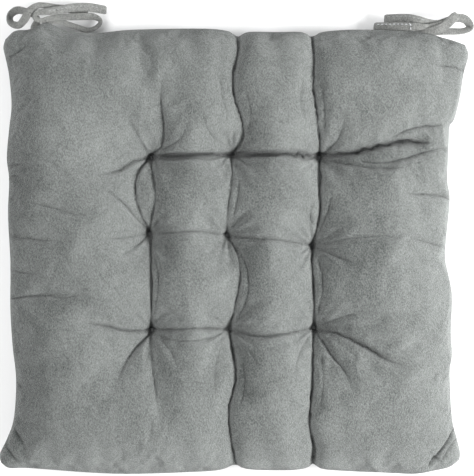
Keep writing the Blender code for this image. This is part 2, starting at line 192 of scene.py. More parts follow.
def makePileShadeGroup():
    # brushed pile: broad patches leaning one way or the other and the grain of the nap, plus
    # painted light and shade on slopes from the lean input and painted shade in creases and at
    # tufts from the crease input
    group, given, out = newGroup("brushedPileAndPaintedShade", "ShaderNodeTree", {
        "Vector": "Vector", "Light Pile": (0.36, 0.38, 0.37, 1), "Dark Pile": (0.18, 0.2, 0.2, 1),
        "Patch Scale": 16.0, "Grain Scale": 420.0, "Grain Depth": 0.35, "Creaseshade": 0.0, "Lean": 0.0,
    }, {"Color": "Color", "Height": "Float", "Patches": "Float"})

    def cloudy(scale, detail, roughness, distortion):
        return addNode(group, "ShaderNodeTexNoise", {
            "Vector": given["Vector"], "Scale": scale, "Detail": detail,
            "Roughness": roughness, "Distortion": distortion}).outputs["Fac"]

    def spread(source, low, high):
        return addNode(group, "ShaderNodeMapRange", {
            "Value": source, "From Min": low, "From Max": high}).outputs[0]

    def mixed(share, first, second):
        return addNode(group, "ShaderNodeMix", {0: share, 2: first, 3: second},
                       data_type="FLOAT").outputs[0]

    broad = cloudy(given["Patch Scale"], 5.0, 0.62, 1.6)
    brush = cloudy(maths(group, "MULTIPLY", given["Patch Scale"], 4.5), 4.0, 0.7, 0.8)
    grain = cloudy(given["Grain Scale"], 3.0, 0.8, 0.0)
    patches = mixed(0.5, spread(broad, 0.34, 0.66), spread(brush, 0.33, 0.67))
    speckled = mixed(given["Grain Depth"], patches, spread(grain, 0.38, 0.62))
    # pile patches plus painted light and shade: lighter on slopes facing the key light, darker on
    # slopes facing away
    lean = maths(group, "ADD", speckled, given["Lean"], use_clamp=True)
    paint = blended(group, lean, given["Dark Pile"], given["Light Pile"])
    # painted shade: the colour is multiplied towards near-black along creases and in the tuft pits
    creaseShaded = blended(group, given["Creaseshade"], paint, (0.06, 0.06, 0.063, 1), "MULTIPLY")
    height = maths(group, "MULTIPLY_ADD", grain, 0.8, brush)
    feed(group, out, {"Color": creaseShaded, "Height": height, "Patches": patches})
    return group


def makeWeaveGroup():
    # plain weave: warp and weft passing over and under
    group, given, out = newGroup("plainWeave", "ShaderNodeTree", {
        "Vector": "Vector", "Thread Scale": 260.0}, {"Height": "Float"})
    warp, weft = (
        addNode(group, "ShaderNodeTexWave", {
            "Vector": given["Vector"], "Scale": given["Thread Scale"], "Distortion": 0.4},
            bands_direction=way).outputs["Fac"]
        for way in ("X", "Y"))
    feed(group, out, {"Height": maths(group, "MAXIMUM", warp, weft)})
    return group


def makeVelvet(name, look):
    material, tree, shader = newMaterial(name)
    coords = addNode(tree, "ShaderNodeTexCoord").outputs["Object"]
    mapping = addNode(tree, "ShaderNodeMapping", {
        "Vector": coords, "Rotation": look.get("turn", (0, 0, 0)),
        "Scale": look.get("stretch", (1, 1, 1))})
    shadedPile = addNode(tree, "ShaderNodeGroup", {
        "Vector": mapping.outputs[0], "Light Pile": (*look["light"], 1),
        "Dark Pile": (*look["dark"], 1), "Patch Scale": look["patchScale"],
        "Grain Scale": look["grainScale"], "Grain Depth": look["grainDepth"]},
        node_tree=pileShadeGroup)
    # hooks up the painted shade in creases and the painted light and shade on slopes
    if look.get("creaseShade"):
        for kind in ("creaseShade", "lean"):
            pressed = addNode(tree, "ShaderNodeAttribute", attribute_name=kind)
            feed(tree, shadedPile, {kind.title(): pressed.outputs["Fac"]})
    rough = addNode(tree, "ShaderNodeMapRange", {
        "Value": shadedPile.outputs["Patches"], "To Min": look["rough"][0], "To Max": look["rough"][1]})
    bump = addNode(tree, "ShaderNodeBump", {
        "Strength": look["bump"], "Distance": look["bumpDistance"],
        "Height": shadedPile.outputs["Height"]})
    if look.get("weave"):
        weave = addNode(tree, "ShaderNodeGroup", {
            "Vector": coords, "Thread Scale": look["weave"]}, node_tree=weaveGroup)
        bump = addNode(tree, "ShaderNodeBump", {
            "Strength": look["weaveBump"], "Distance": look["weaveDistance"],
            "Height": weave.outputs["Height"], "Normal": bump.outputs[0]})
    feed(tree, shader, {
        "Base Color": shadedPile.outputs["Color"], "Roughness": rough.outputs[0],
        "Normal": bump.outputs[0], "Sheen Weight": look["sheen"],
        "Sheen Roughness": look["sheenRoughness"], "Sheen Tint": (*look["sheenTint"], 1),
        "Specular IOR Level": look["specular"]})
    return material


velvetLook = {
    "light": (0.31, 0.327, 0.316), "dark": (0.062, 0.068, 0.065),
    "sheen": 0.45, "sheenRoughness": 0.4, "sheenTint": (0.88, 0.9, 0.89), "specular": 0.12,
    "rough": (0.78, 0.95), "patchScale": 13.0, "grainScale": 1050.0, "grainDepth": 0.62,
    "bump": 1.0, "bumpDistance": 0.003, "creaseShade": True,
    "turn": (0, 0, 0.6), "stretch": (1.0, 0.62, 1.0),
}
strapLook = dict(
    velvetLook, light=(0.48, 0.485, 0.465), dark=(0.12, 0.125, 0.118), patchScale=120.0,
    creaseShade=False, stretch=(1, 1, 1), sheen=0.3, grainScale=900.0, grainDepth=0.5)
undersideLook = {
    "light": (0.185, 0.196, 0.189), "dark": (0.085, 0.092, 0.088),
    "sheen": 0.2, "sheenRoughness": 0.6, "sheenTint": (0.9, 0.9, 0.9), "specular": 0.15,
    "rough": (0.85, 0.97), "patchScale": 22.0, "grainScale": 900.0, "grainDepth": 0.35,
    "bump": 0.4, "bumpDistance": 0.0005, "creaseShade": True,
    "weave": 260.0, "weaveBump": 0.35, "weaveDistance": 0.0003,
}

pileShadeGroup = makePileShadeGroup()
weaveGroup = makeWeaveGroup()
velvet = makeVelvet("greyVelvet", velvetLook)
strapVelvet = makeVelvet("strapVelvet", strapLook)
underCloth = makeVelvet("undersideCloth", undersideLook)


def makeTwistGroup():
    # the slanting strands of a twisted thread, with painted shade in the grooves between them
    group, given, out = newGroup("twistedThread", "ShaderNodeTree", {
        "Vector": "Vector", "Strand Scale": 900.0, "Colour": (0.5, 0.5, 0.5, 1), "Shade": 0.25,
    }, {"Color": "Color", "Height": "Float"})
    strands = addNode(group, "ShaderNodeTexWave", {
        "Vector": given["Vector"], "Scale": given["Strand Scale"], "Distortion": 1.0},
        bands_direction="DIAGONAL").outputs["Fac"]
    # painted shade: the colour darkened in the grooves between strands
    between = maths(group, "SUBTRACT", 1.0, strands)
    depth = maths(group, "MULTIPLY", between, given["Shade"])
    shade = blended(group, depth, given["Colour"], (0.1, 0.1, 0.1, 1), "MULTIPLY")
    feed(group, out, {"Color": shade, "Height": strands})
    return group


def makeThread(name, colour, shade):
    material, tree, shader = newMaterial(name)
    coords = addNode(tree, "ShaderNodeTexCoord")
    twist = addNode(tree, "ShaderNodeGroup", {
        "Colour": (*colour, 1), "Shade": shade, "Vector": coords.outputs["Object"]},
        node_tree=twistGroup)
    bump = addNode(tree, "ShaderNodeBump", {
        "Strength": 0.5, "Distance": 0.0002, "Height": twist.outputs["Height"]})
    feed(tree, shader, {"Base Color": twist.outputs["Color"], "Normal": bump.outputs[0],
                        "Roughness": 0.6, "Sheen Weight": 0.2})
    return material


twistGroup = makeTwistGroup()
greyThread = makeThread("greyThread", (0.20, 0.21, 0.21), 0.3)
paleThread = makeThread("paleThread", (0.78, 0.80, 0.83), 0.12)
softThread = makeThread("softThread", (0.46, 0.47, 0.47), 0.15)
print("materials ready")

strapSize = {
    "width": 0.0080, "thick": 0.0024, "plump": 1.3, "sewnIn": 0.006,
    "stub": 0.0010, "gap": 0.0003, "straight": 0.0015,
    "step": 0.0016, "ring": 20, "endShare": 0.86,
}

# x, y, z in mm from the knot, turn in degrees (0 on edge, 90 flat), share of the full section
tieRoutes = {
    "left": {
        "knot": (0, 0.0135, 0.002), "body": "left_tie",
        "loop": [
            (-4.3, -5.5, -2.4, 90, 0.8), (-3.6, -1.6, -1.4, 75, 0.62),
            (-8, 1.6, -0.8, 62, 0.62), (-15, 5.2, -5.8, 55, 0.8),
            (-23, 6.8, -11.2, 45, 0.95), (-29.5, 3, -15.4, 30, 0.95),
            (-28.5, -3.4, -13.8, 40, 0.95), (-21, -6.6, -7, 60, 1),
            (-14.6, -3, -0.2, 70, 1), (-9.5, 3.4, 4.1, 75, 0.9), (-2.5, 8.2, 4, 70, 0.75),
            (5, 8.6, 1.2, 70, 0.7), (13, 8, -6.2, 80, 0.8), (24, 9, -18, 90, 0.9),
            (36, 10.5, -30, 90, 0.95),
        ],
        "tail": [
            (4.3, -5.5, -2.4, 90, 0.8), (7.5, -3.6, -3.6, 80, 0.7), (15, -3.6, -8.6, 55, 0.75),
            (26, -6.2, -16.5, 45, 0.85), (37, -8.4, -23.9, 40, 0.9),
            (45, -5, -28, 30, 0.9), (48, 0.4, -28.5, 25, 0.9),
            (42, 3.6, -24.6, 35, 0.9), (30, 2.2, -16.1, 50, 0.85),
            (18, 0.2, -6.9, 60, 0.75), (8, -2.2, 1.6, 70, 0.6), (1, -4.4, 3.4, 70, 0.55),
            (-4.6, -2.8, 5, 75, 0.55), (-3, 1.6, 6.6, 85, 0.6), (4, 2.4, 7, 85, 0.75),
            (14, 4.4, 2.9, 80, 0.9), (26, 8.4, -7.5, 75, 1), (39, 10.6, -18, 75, 1),
            (53, 9.8, -27.6, 80, 1),
        ],
    },
    "right": {
        "knot": (0.003, 0.0087, 0.002), "body": "right_tie",
        "loop": [
            (4, -4.4, -3.4, 88, 0.8), (9, -3.4, -5.2, 75, 0.75), (18, -2.4, -9.8, 60, 0.85),
            (26, -1.6, -14.8, 50, 0.95), (34.5, -0.2, -19, 40, 1),
            (40, 3.2, -21.4, 40, 1), (35.5, 9, -17.3, 50, 1),
            (27, 10, -12.3, 60, 1), (18, 6.6, -7.8, 70, 0.85), (9, 3.8, -1.6, 75, 0.65),
            (0.5, 4.6, -0.8, 70, 0.6), (-8, 6.2, 0, 75, 0.8), (-18, 8.6, -7, 80, 0.95),
            (-35, 10.2, -20, 85, 1),
        ],
        "tail": [
            (-7, -3.6, -1.6, 85, 0.7), (-4.6, -3.2, 0.2, 80, 0.65), (-0.6, -3.8, 3.2, 75, 0.7),
            (6, -3, 5.4, 75, 0.9), (13, 0, 3.2, 75, 1), (19.5, 5.6, 0.7, 80, 1),
            (23.5, 9.6, -2.5, 80, 1), (25.5, 10.4, -5.6, 80, 0.9), (21, 7.4, -4.6, 80, 0.8),
            (13, 3.4, -0.1, 75, 0.65), (5, 0.8, 2.2, 75, 0.55), (-3, -0.2, 2.4, 75, 0.6),
            (-12, 0.2, 0.8, 80, 0.85), (-24, 1.4, -7, 85, 1),
            (-44, 3.4, -22, 85, 1),
        ],
    },
}


def strapFrames(path):
    # along, across and face directions at each point of a strap
    places = [Vector(p[:3]) for p in path]
    frames = []
    for k, place in enumerate(places):
        before = (place - places[k - 1]).normalized() if k else None
        after = (places[k + 1] - place).normalized() if k < len(places) - 1 else None
        along = ((before or after) + (after or before)).normalized()
        upward = (Vector((0, 0, 1)) - along * along.z).normalized()
        turn = math.radians(path[k][3])
        across = upward * math.cos(turn) + along.cross(upward) * math.sin(turn)
        face = across.cross(along)
        frames.append((place, along, across, face, path[k][4]))
    return frames


def tubeFaces(rings, around):
    # the sides and both ends of a tube, from its rings of verts
    faces = []
    for k in range(rings - 1):
        for j in range(around):
            a, b = k * around + j, k * around + (j + 1) % around
            faces.append((a, b, b + around, a + around))
    last = (rings - 1) * around
    return faces + [tuple(range(around))[::-1], tuple(range(last, last + around))]


def sweepStrap(name, path, size, material):
    # a folded band: rounded edges, the fold a little fatter than the sewn edge, faint ripples
    verts = []
    frames = strapFrames(path)
    for k, (place, along, across, face, share) in enumerate(frames):
        close = size["endShare"] if k in (0, len(frames) - 1) else 1
        for j in range(size["ring"]):
            a = 2 * math.pi * j / size["ring"]
            c, s = math.cos(a), math.sin(a)
            w = size["width"] / 2 * share * close
            h = size["thick"] / 2 * size["plump"] * share * close
            wide = math.copysign(abs(c) ** 0.72, c)
            tall = math.copysign(abs(s) ** 0.85, s) * (1 - 0.16 * wide)
            ripple = 0.14 * math.sin(k * 0.7 + 2 * c) + 0.10 * math.sin(k * 1.9 + 3 * c)
            tall += ripple * (1 - wide * wide)
            verts.append(place + across * w * wide + face * h * tall)
    obj = addMesh(name, verts, tubeFaces(len(frames), size["ring"]), material)
    orientOutwards(obj)
    return obj


def orientOutwards(obj):
    mesh = bmesh.new()
    mesh.from_mesh(obj.data)
    bmesh.ops.recalc_face_normals(mesh, faces=mesh.faces)
    if mesh.calc_volume(signed=True) < 0:
        bmesh.ops.reverse_faces(mesh, faces=mesh.faces)
    mesh.to_mesh(obj.data)
    mesh.free()


def strapPath(side, kind):
    tie = tieRoutes[side]
    low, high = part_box(f"{side}_tie_root_{kind}")
    rootX = (low[0] + high[0]) / 2
    edge = high[1] - strapSize["stub"]
    seam = (low[2] + high[2]) / 2
    hinge = Vector(next(j["pos_m"] for j in frame["joints"] if j["child"] == tie["body"]))
    knot = hinge + Vector(tie["knot"]) - Vector((0, strapSize["stub"], strapSize["thick"] / 2))
    start = [(rootX, edge - strapSize["sewnIn"] + out, seam, 90, 1.0) for out in (0, 0.003)]
    leave = edge + strapSize["stub"] + strapSize["gap"]
    start += [(rootX, leave, seam, 90, 1.0), (rootX, leave + strapSize["straight"], seam, 90, 1.0)]
    free = [(knot.x + x * mm, knot.y + y * mm, knot.z + z * mm, turn, share)
            for x, y, z, turn, share in tie[kind]]
    return smoothPath(start + free, strapSize["step"]), (rootX, edge, seam)


def pathLength(path):
    return sum(math.dist(a[:3], b[:3]) for a, b in zip(path, path[1:]))


def makeStraps():
    straps = {}
    for side in tieRoutes:
        for kind in ("loop", "tail"):
            path, leaves = strapPath(side, kind)
            strap = sweepStrap(f"{side}Strap{kind.title()}", path, strapSize, strapVelvet)
            straps[side, kind] = (strap, path, leaves)
    return straps


straps = makeStraps()
for (side, kind), (strap, path, leaves) in straps.items():
    print(f"{side} {kind} strap swept, {pathLength(path) / mm:.0f} mm")

# seam line in mm, each side from corner to corner
outline = {
    "left": [
        (-197, -183), (-198, -176), (-192, -163), (-186, -145), (-184, -112), (-187, -83),
        (-189, -50), (-189, -10), (-191, 30), (-190, 60), (-192, 80), (-190, 105), (-188, 125),
        (-190, 150), (-193, 165), (-195, 175), (-193, 182),
    ],
    "right": [
        (198, -181), (199, -175), (196, -162), (192, -145), (190, -107), (192, -90), (191, -70),
        (192, -40), (189, -22), (186, -7), (187, 10), (190, 44), (188, 60), (189, 90), (190, 107),
        (194, 113), (199, 133), (202, 152), (206, 168), (203, 177),
    ],
    "front": [
        (-197, -183), (-190, -188), (-173, -188), (-119, -192), (-81, -193), (-24, -191),
        (-6, -189), (5, -185), (16, -189), (48, -190), (66, -188), (72, -184), (78, -188),
        (92, -190), (134, -192), (160, -193), (178, -190), (190, -187), (198, -181),
    ],
    "back": [
        (-193, 182), (-185, 189), (-174, 190), (-166, 193), (-158, 197), (-150, 193), (-140, 189),
        (-117, 187), (-84, 190), (-27, 191), (-2, 189), (7, 184), (16, 188), (40, 188), (62, 188),
        (71, 184), (80, 188), (102, 190), (124, 190), (144, 189), (158, 189), (170, 188),
        (181, 184), (192, 181), (203, 177),
    ],
}

# each fold: depth, half width, fade in, fade out, points; mm, and shares of the length
foldLines = {
    "backRow": [
        (13, 6, 0, 0, [(-68, 80), (-34, 80.5), (3, 82.5)]),
        (14, 6.5, 0, 0, [(3, 82.5), (43, 82), (78, 81)]),
        (16, 6, 0, 0.2, [(78, 81), (99, 82), (121, 87), (139, 91), (157, 92), (176, 91)]),
    ],
    "towardsRight": [
        (9, 3.5, 0.3, 0.3, [(133, 93), (148, 100), (164, 105), (188, 107)]),
        (9, 3.5, 0.2, 0.3, [(103, 77), (124, 74), (143, 76), (165, 83), (187, 88)]),
        (7, 3.5, 0.05, 0.4, [(78, 79), (96, 75), (115, 71), (133, 70), (163, 70)]),
        (8, 3.5, 0.4, 0, [(143, 49), (162, 47), (178, 47), (190, 43)]),
        (6, 3.5, 0.5, 0, [(150, 11), (170, 6), (186, 2)]),
    ],
    "leftOfBackTufts": [
        (9, 4.5, 0, 0.6, [(-69, 80), (-81, 76), (-98, 66), (-122, 62)]),
        (6, 4, 0, 0.6, [(-69, 15), (-80, 29), (-97, 46), (-118, 56)]),
    ],
    "tuftToTuft": [
        (9, 4.5, 0, 0, [(-69, 80), (-78, 64), (-80, 50), (-76, 32), (-69, 15)]),
        (7, 3.5, 0, 0, [(-68, 80), (-64, 58), (-63, 41), (-69, 15)]),
        (10, 5, 0, 0, [(-68, 13), (-67, -8), (-66, -34), (-67, -69)]),
        (6, 4, 0, 0, [(2, 81), (2, 58), (-1, 36), (-2, 14)]),
        (8, 4.5, 0, 0, [(-1, 12), (8, -6), (9, -26), (5, -46), (0, -67)]),
        (10, 4.5, 0, 0, [(78, 79), (77, 54), (77, 30), (72, 6)]),
        (5, 3, 0.4, 0.1, [(70, 50), (69, 28), (72, 8)]),
        (10, 4.5, 0, 0, [(72, 3), (71, -14), (72, -38), (73, -66)]),
        (6, 4, 0, 0, [(-68, 14), (-48, 15), (-25, 16), (-2, 13)]),
        (7, 4, 0, 0, [(-1, 12), (18, 10), (38, 9), (72, 4)]),
        (9, 4, 0, 0, [(-67, -69), (-45, -67), (-24, -67), (0, -68)]),
        (5, 3, 0.1, 0.1, [(-60, -73), (-40, -77), (-18, -75), (-3, -70)]),
        (9, 4.5, 0, 0, [(0, -69), (24, -73), (48, -71), (73, -67)]),
    ],
    "towardsBack": [
        (8, 4.5, 0, 0.5, [(-68, 81), (-58, 88), (-56, 105), (-58, 130), (-54, 152)]),
        (5, 4, 0, 0.6, [(-70, 84), (-79, 100), (-89, 118)]),
        (10, 4, 0, 0, [(3, 83), (10, 92), (11, 108), (4, 132), (4, 152), (8, 170), (7, 185)]),
        (4, 3, 0.3, 0.3, [(-8, 154), (-6, 132), (-1, 112)]),
        (10.5, 4, 0, 0, [(78, 81), (77, 94), (74, 118), (71, 142), (72, 162), (71, 185)]),
    ],
    "towardsFront": [
        (7, 4.5, 0, 0.6, [(-67, -70), (-66, -90), (-63, -112), (-58, -148)]),
        (9, 4.5, 0, 0.6, [(-68, -71), (-80, -83), (-91, -102), (-97, -120)]),
        (9, 5, 0, 0.6, [(-67, -69), (-85, -69), (-106, -64), (-134, -58)]),
        (10, 4, 0, 0, [(0, -69), (4, -88), (5, -112), (0, -132), (1, -156), (6, -186)]),
        (4, 3.5, 0.3, 0.4, [(-6, -76), (-12, -104), (-10, -132)]),
        (10.5, 4, 0, 0, [(73, -68), (71, -92), (70, -120), (68, -146), (72, -166), (72, -185)]),
        (11, 5, 0, 0.5, [(73, -68), (92, -71), (113, -81), (134, -93), (158, -100)]),
        (8, 4.5, 0, 0.6, [(74, -69), (85, -87), (97, -102), (107, -124)]),
    ],
    "fanningOut": [
        (3, 3.5, 0.2, 0.5, [(-6, 88), (-18, 102), (-24, 122)]),
        (4, 3.5, 0.1, 0.6, [(-60, 84), (-40, 96), (-34, 116)]),
        (4, 3.5, 0.1, 0.6, [(84, 84), (94, 98), (98, 118)]),
        (3, 3, 0.2, 0.4, [(64, 150), (60, 128), (66, 104)]),
        (4, 4, 0.05, 0.6, [(73, 4), (96, 9), (124, 12), (152, 13)]),
        (4, 4, 0.05, 0.6, [(73, 3), (92, -6), (116, -14)]),
        (4, 4, 0.05, 0.6, [(-70, 14), (-92, 10), (-120, 8)]),
        (4, 4, 0.05, 0.6, [(-69, 13), (-84, 0), (-104, -12)]),
        (4, 3.5, 0.1, 0.6, [(-62, -72), (-46, -92), (-42, -116)]),
        (3, 3.5, 0.1, 0.6, [(4, -72), (20, -90), (26, -112)]),
        (4, 3.5, 0.1, 0.6, [(70, -72), (58, -92), (54, -120)]),
        (4, 4, 0.05, 0.6, [(75, -66), (98, -56), (126, -50)]),
    ],
    "besideDeepOnes": [
        (4, 3.5, 0.1, 0.1, [(5, 78), (8, 52), (3, 26)]),
        (5, 3.5, 0.1, 0.1, [(4, 8), (15, -16), (15, -40), (6, -60)]),
        (5, 3.5, 0.2, 0, [(87, 50), (83, 32), (73, 6)]),
        (4, 3.5, 0.15, 0.15, [(74, -4), (79, -26), (75, -58)]),
        (4, 3.5, 0.15, 0.15, [(-66, 6), (-60, -26), (-65, -60)]),
        (4, 3, 0.2, 0.3, [(16, 96), (18, 118), (12, 140)]),
        (4, 3, 0.2, 0.3, [(82, 96), (80, 122), (78, 146)]),
        (4, 3, 0.2, 0.3, [(11, -90), (13, -112), (8, -136)]),
        (4, 3, 0.2, 0.3, [(78, -84), (79, -110), (76, -138)]),
    ],
    "fromLeftEdge": [
        (5, 3.5, 0.3, 0.5, [(-118, -36), (-146, -40), (-172, -30)]),
        (5, 3.5, 0.3, 0.5, [(-122, 28), (-150, 36), (-176, 42)]),
        (6, 3, 0, 0.6, [(-192, 72), (-170, 73)]),
        (5, 3, 0, 0.6, [(-191, 64), (-172, 62)]),
        (7, 3.5, 0, 0.7, [(-190, 12), (-164, 9), (-130, 7)]),
        (6, 3.5, 0, 0.6, [(-189, -17), (-172, -20), (-154, -20)]),
        (7, 3.5, 0, 0.6, [(-189, -42), (-168, -39), (-124, -36)]),
        (6, 3, 0, 0.6, [(-188, -87), (-172, -87)]),
        (6, 3.5, 0, 0.6, [(-186, -110), (-172, -122)]),
    ],
    "corners": [
        (7, 3.5, 0, 0.5, [(-187, -148), (-180, -160), (-172, -168)]),
        (6, 3, 0, 0.5, [(-194, -166), (-185, -177), (-176, -186)]),
        (9, 3.5, 0, 0.1, [(195, -152), (185, -166), (169, -186)]),
        (6, 3, 0, 0.3, [(195, -162), (187, -171), (180, -184)]),
        (4, 3.5, 0, 0.6, [(192, -134), (184, -150)]),
        (7, 3.5, 0.4, 0, [(172, 157), (187, 157), (203, 154)]),
        (5, 3.5, 0, 0.5, [(-192, 164), (-180, 169), (-168, 178)]),
    ],
}

padShape = {
    "cells": 96,            # along one side before the cloth is blown up
    "topFine": 4,           # how many finer cells each becomes afterwards
    "underFine": 2,
    "tuftDepth": 29.0,      # mm below the crown
    "tuftSharp": 6.0,
    "tuftBroad": 36.0,
    "foldScale": 0.95,
    "underTuftDepth": 6.0,
    "pleat": 1.2,           # mm, the small pleats drawn in round each tuft
    "gather": 1.3,          # mm, the gathers along the seam
    "creaseShare": 0.4,    # how much of a fold is left for the sharp line pressed in last
}


def sideLine(points, count):
    return evenly(smoothPath([(x * mm, y * mm) for x, y in points], 0.002), count)


def padPlan(n):
    # (n + 1) x (n + 1) places in plan, filled in between the four sides
    left, right = sideLine(outline["left"], n), sideLine(outline["right"], n)
    front, back = sideLine(outline["front"], n), sideLine(outline["back"], n)
    s = np.linspace(0, 1, n + 1)[:, None, None]
    t = np.linspace(0, 1, n + 1)[None, :, None]
    corners = ((1 - s) * (1 - t) * front[0] + s * (1 - t) * front[-1]
               + (1 - s) * t * back[0] + s * t * back[-1])
    return ((1 - t) * front[:, None] + t * back[:, None]
            + (1 - s) * left[None] + s * right[None] - corners)


def lineDistance(x, y, points):
    # distance to a drawn line and how far along it the nearest place is
    best = np.full(x.shape, 1e9)
    share = np.zeros(x.shape)
    runs = [math.dist(a, b) for a, b in zip(points, points[1:])]
    done = 0.0
    for (ax, ay), (bx, by), run in zip(points, points[1:], runs):
        along = np.clip(((x - ax) * (bx - ax) + (y - ay) * (by - ay)) / run**2, 0, 1)
        away = np.hypot(x - ax - along * (bx - ax), y - ay - along * (by - ay))
        nearer = away < best
        best = np.where(nearer, away, best)
        share = np.where(nearer, (done + along * run) / sum(runs), share)
        done += run
    return best, share


def foldStrength(share, fadeIn, fadeOut):
    rise = np.clip(share / fadeIn, 0, 1) if fadeIn else 1.0
    fall = np.clip((1 - share) / fadeOut, 0, 1) if fadeOut else 1.0
    strength = rise * fall
    return strength * strength * (3 - 2 * strength)


foldProfile = {
    "step": 6.0,                            # mm between points along a fold
    "nearShare": 0.55, "nearReach": 1.2,    # reaches are in half widths
    "farShare": 0.45, "farReach": 4.2, "farPower": 1.5,
    "sharpReach": 0.21,
    "heldReach": 2.0,                       # mm
    "overlap": 0.2,                         # how much of the shallower of two folds is added
}


def pressedFolds(x, y, kind):
    # depth of the folds at each place: broad valleys, sharp lines, or the places held down
    f = foldProfile
    depth = np.zeros(x.shape)
    for deep, wide, fadeIn, fadeOut, points in sum(foldLines.values(), []):
        line = [p[:2] for p in smoothPath(points, f["step"])]
        away, share = lineDistance(x, y, line)
        if kind == "broad":
            far = away / (f["farReach"] * wide)
            valley = (f["nearShare"] * np.exp(-away / (f["nearReach"] * wide))
                      + f["farShare"] * np.exp(-(far ** f["farPower"])))
        elif kind == "sharp":
            valley = np.exp(-away / (f["sharpReach"] * wide))
        else:
            valley = np.exp(-((away / f["heldReach"]) ** 2))
        pressed = deep * foldStrength(share, fadeIn, fadeOut) * valley
        depth = np.maximum(depth, pressed) + f["overlap"] * np.minimum(depth, pressed)
    return depth


def tuftDistance(x, y):
    return np.min([np.hypot(x - a, y - b) for a, b in tuftSpots], axis=0)


def tuftDips(x, y):
    # 0 to 1, pinched at each tuft and running softly into the next
    total = np.zeros(x.shape)
    for a, b in tuftSpots:
        away = np.hypot(x - a, y - b)
        pinch = np.exp(-away / padShape["tuftSharp"])
        hollow = np.exp(-((away / padShape["tuftBroad"]) ** 1.5))
        total += (0.36 * pinch + 0.64 * hollow) ** 2.5
    return total ** 0.4


def fullness(n, power):
    u = np.linspace(-1, 1, n + 1)
    edge = 1 - np.abs(u) ** power
    return np.sqrt(np.clip(edge[:, None] * edge[None, :], 0, 1))


def pillowGrids(n):
    plan = padPlan(n)
    x, y = plan[..., 0] / mm, plan[..., 1] / mm
    full = fullness(n, padSize["crownPower"])
    away = tuftDistance(x, y)
    p = padShape
    dip = p["tuftDepth"] * tuftDips(x, y)
    broad = pressedFolds(x, y, "broad") * p["foldScale"] * (1 - p["creaseShare"])
    hug = np.clip(full * 1.6, 0, 1)
    top = padSize["seamHeight"] + padSize["crown"] * full - mm * (dip + broad) * hug
    belly = np.clip(fullness(n, 8) * padSize["underFullness"], 0, 1)
    under = padSize["seamHeight"] * (1 - belly)
    under = under + mm * p["underTuftDepth"] * np.exp(-(away / 16) ** 1.4) * belly
    under = np.maximum(under, padSize["restClearance"])
    rim = np.zeros(full.shape, bool)
    rim[[0, -1], :] = True
    rim[:, [0, -1]] = True
    top[rim] = under[rim] = padSize["seamHeight"]
    return (np.dstack([x * mm, y * mm, top]), np.dstack([x * mm, y * mm, under]), away, rim)


def quads(index):
    # the faces of a grid of vert numbers
    corners = index[:-1, :-1], index[1:, :-1], index[1:, 1:], index[:-1, 1:]
    return np.dstack(corners).reshape(-1, 4)


def gridFaces(size, offset=0, flip=False):
    faces = quads(offset + np.arange(size * size).reshape(size, size))
    return faces[:, ::-1] if flip else faces


inflation = {
    "pressure": 4.0,
    "frames": 20,
    "stretchAllowance": -0.02,   # cloth cut a little larger than the filling, so that it puckers
    "stiffness": 12.0, "shear": 4, "bending": 0.35,
    "damping": 8, "airDamping": 4,
    "quality": 7, "mass": 0.25, "pinStiffness": 30,
    "holdFoldsDeeperThan": 3.0,  # mm
    "mostMovement": 0.011,
}


def inflate(topGrid, underGrid, away, rim, s):
    # one closed bag of cloth, held at the seam, the tufts and the deep folds, then blown up
    n = topGrid.shape[0]
    inner = ~rim
    index = np.arange(n * n).reshape(n, n)
    underIndex = index.copy()
    underIndex[inner] = n * n + np.arange(int(inner.sum()))
    verts = np.concatenate([topGrid.reshape(-1, 3), underGrid[inner]])
    faces = [*quads(index), *quads(underIndex)[:, ::-1]]
    bag = addMesh("bag", verts, faces)
    x, y = topGrid[..., 0] / mm, topGrid[..., 1] / mm
    topHold = np.clip((pressedFolds(x, y, "held") - s["holdFoldsDeeperThan"]) / 4, 0, 0.95)
    topHold[rim | (away < 5)] = 1
    underHold = np.where(away < 6, 1.0, np.clip((0.004 - underGrid[..., 2]) / 0.004, 0, 1))
    hold = np.concatenate([topHold.reshape(-1), underHold[inner]])
    group = bag.vertex_groups.new(name="held")
    for k, weight in enumerate(hold):
        if weight > 0.01:
            group.add([k], float(weight), "REPLACE")
    cloth = bag.modifiers.new("cloth", "CLOTH")
    c = cloth.settings
    c.quality, c.mass = s["quality"], s["mass"]
    c.tension_stiffness = c.compression_stiffness = s["stiffness"]
    c.shear_stiffness, c.bending_stiffness = s["shear"], s["bending"]
    c.tension_damping = c.compression_damping = c.shear_damping = s["damping"]
    c.air_damping = s["airDamping"]
    c.use_pressure = True
    c.uniform_pressure_force = s["pressure"]
    c.shrink_min = s["stretchAllowance"]
    c.vertex_group_mass = "held"
    c.pin_stiffness = s["pinStiffness"]
    c.effector_weights.gravity = 0
    cloth.collision_settings.use_collision = False
    cloth.collision_settings.use_self_collision = False
    cloth.point_cache.frame_start, cloth.point_cache.frame_end = 1, s["frames"]
    for number in range(1, s["frames"] + 1):
        scene.frame_set(number)
    shape = bag.evaluated_get(bpy.context.evaluated_depsgraph_get()).to_mesh()
    moved = np.empty(len(verts) * 3)
    shape.vertices.foreach_get("co", moved)
    moved = moved.reshape(-1, 3)
    step = moved - verts
    far = np.linalg.norm(step, axis=1, keepdims=True)
    step *= np.minimum(1, s["mostMovement"] / np.maximum(far, 1e-9))
    moved = verts + step
    bpy.data.objects.remove(bag)
    scene.frame_set(1)
    top = moved[: n * n].reshape(n, n, 3)
    under = top.copy()
    under[inner] = moved[n * n:]
    under[inner, 2] = np.maximum(under[inner, 2], padSize["restClearance"])
    print(f"cloth moved {np.median(far) / mm:.1f} mm, at most {far.max() / mm:.1f} mm")
    return top, under


